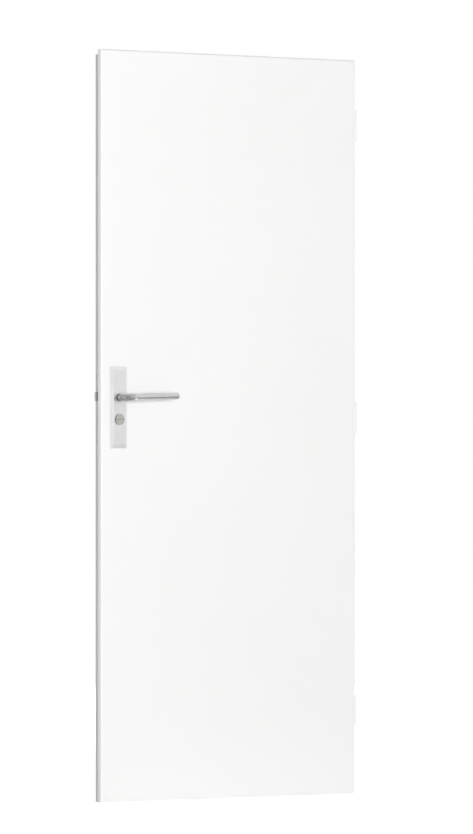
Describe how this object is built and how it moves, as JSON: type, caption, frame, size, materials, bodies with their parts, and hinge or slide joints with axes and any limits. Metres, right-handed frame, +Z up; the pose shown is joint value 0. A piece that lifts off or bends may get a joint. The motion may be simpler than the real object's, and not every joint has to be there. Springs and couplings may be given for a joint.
{
  "type": "interior door",
  "caption": "Rebated interior door leaf with flush white faces, straight lever handles on short bevelled backplates, a bathroom lock with release disc and thumb turn, and three two-part hinges.",
  "frame": {"origin": "on the face of the lowest hinge's frame leaf that is screwed into the rebate of the door frame, level with the hinge's centre and with the middle of the leaf's thickness", "axes": "+X out of that face, from the lock edge towards the door frame on the hinge side; +Y from the front of the leaf to its back, against the way the leaf opens; +Z up"},
  "size_m": [0.9417, 0.165, 2.015],
  "materials": {
    "white_paint": "satin white lacquer on a smooth wood-fibre sheet",
    "painted_edge": "white lacquer on softwood edges",
    "raw_wood": "bare softwood inside the leaf",
    "satin_aluminium": "satin anodised",
    "satin_steel": "satin",
    "nickel": "nickel plated",
    "case_steel": "zinc plated",
    "white_metal": "white lacquer on steel"
  },
  "bodies": {
    "hinge_frame_leaves": {"low_hinge_frame_leaf": "white_metal", "middle_hinge_frame_leaf": "white_metal", "high_hinge_frame_leaf": "white_metal", "low_hinge_pin": "white_metal", "middle_hinge_pin": "white_metal", "high_hinge_pin": "white_metal"},
    "door": {"front_skin": "white_paint", "back_skin": "white_paint", "lock_stile": "painted_edge", "hinge_stile": "painted_edge", "top_rail": "painted_edge", "bottom_rail": "raw_wood", "lock_block": "raw_wood", "lock_faceplate": "satin_steel", "lock_case": "case_steel", "front_plate": "satin_aluminium", "back_plate": "satin_aluminium", "low_hinge_door_leaf": "white_metal", "middle_hinge_door_leaf": "white_metal", "high_hinge_door_leaf": "white_metal"},
    "levers": {"front_lever": "satin_aluminium", "back_lever": "satin_aluminium", "lever_spindle": "case_steel", "follower": "case_steel"},
    "latch": {"latch": "nickel"},
    "turn": {"release_disc": "nickel", "thumb_turn": "nickel", "turn_spindle": "case_steel", "turn_hub": "case_steel"},
    "dead_bolt": {"dead_bolt": "nickel"}
  },
  "joints": [
    {"name": "door_swing", "type": "hinge", "parent": "hinge_frame_leaves", "child": "door", "pos_m": [0.0157, -0.0095, 0], "axis": [0, 0, 1], "range_deg": [0, 150]},
    {"name": "lever_turn", "type": "hinge", "parent": "door", "child": "levers", "pos_m": [-0.8615, 0, 0.853], "axis": [0, 1, 0], "range_deg": [0, 40], "stiffness_Nm_per_rad": 1.5, "springref_deg": -28.65},
    {"name": "latch_slide", "type": "slide", "parent": "door", "child": "latch", "axis": [1, 0, 0], "range_m": [0, 0.0125]},
    {"name": "lock_turn", "type": "hinge", "parent": "door", "child": "turn", "pos_m": [-0.8615, 0, 0.7945], "axis": [0, 1, 0], "range_deg": [0, 90]},
    {"name": "bolt_slide", "type": "slide", "parent": "door", "child": "dead_bolt", "axis": [-1, 0, 0], "range_m": [0, 0.015]}
  ],
  "couplings": [
    {"joint": "latch_slide", "follows": "lever_turn", "m_per_rad": 0.0172},
    {"joint": "bolt_slide", "follows": "lock_turn", "m_per_rad": 0.0089}
  ]
}
